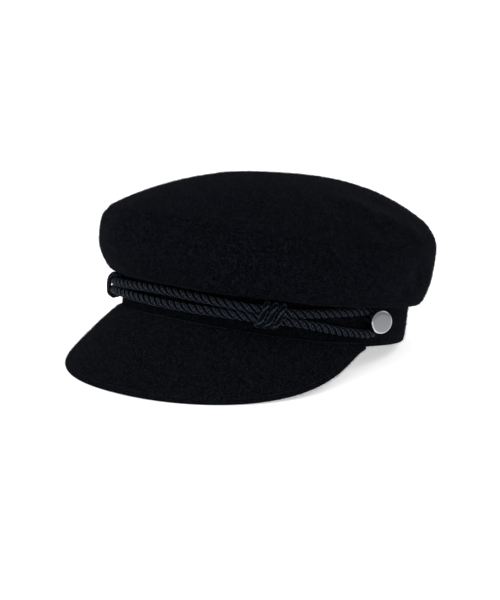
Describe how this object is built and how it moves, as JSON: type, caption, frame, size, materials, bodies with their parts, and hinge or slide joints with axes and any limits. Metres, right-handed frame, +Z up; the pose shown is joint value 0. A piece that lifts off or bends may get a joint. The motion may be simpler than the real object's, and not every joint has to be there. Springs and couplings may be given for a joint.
{
  "type": "sailor cap with a twisted cord and two buttons",
  "caption": "Soft-crowned wool sailor cap with a domed top, a band, a drooping peak and a knotted twisted cord held by metal side buttons.",
  "frame": {"origin": "centre of the bounding box on the surface that the cap rests on", "axes": "+Z up, -Y the cap's front where the peak is, +X the wearer's left; the cap leans back on its peak and the rear of its band"},
  "size_m": [0.2084, 0.2736, 0.1232],
  "materials": {
    "wool": "near-black navy milled wool, matt with a fine short nap",
    "cord": "black three-ply twisted cord with a soft silky sheen",
    "button_metal": "satin silver metal with a polished round edge"
  },
  "bodies": {
    "root": {"crown_top": "wool", "crown_side": "wool", "band": "wool", "visor": "wool", "cord": "cord", "knot_left": "cord", "knot_right": "cord", "button_left": "button_metal", "button_right": "button_metal"}
  },
  "joints": []
}
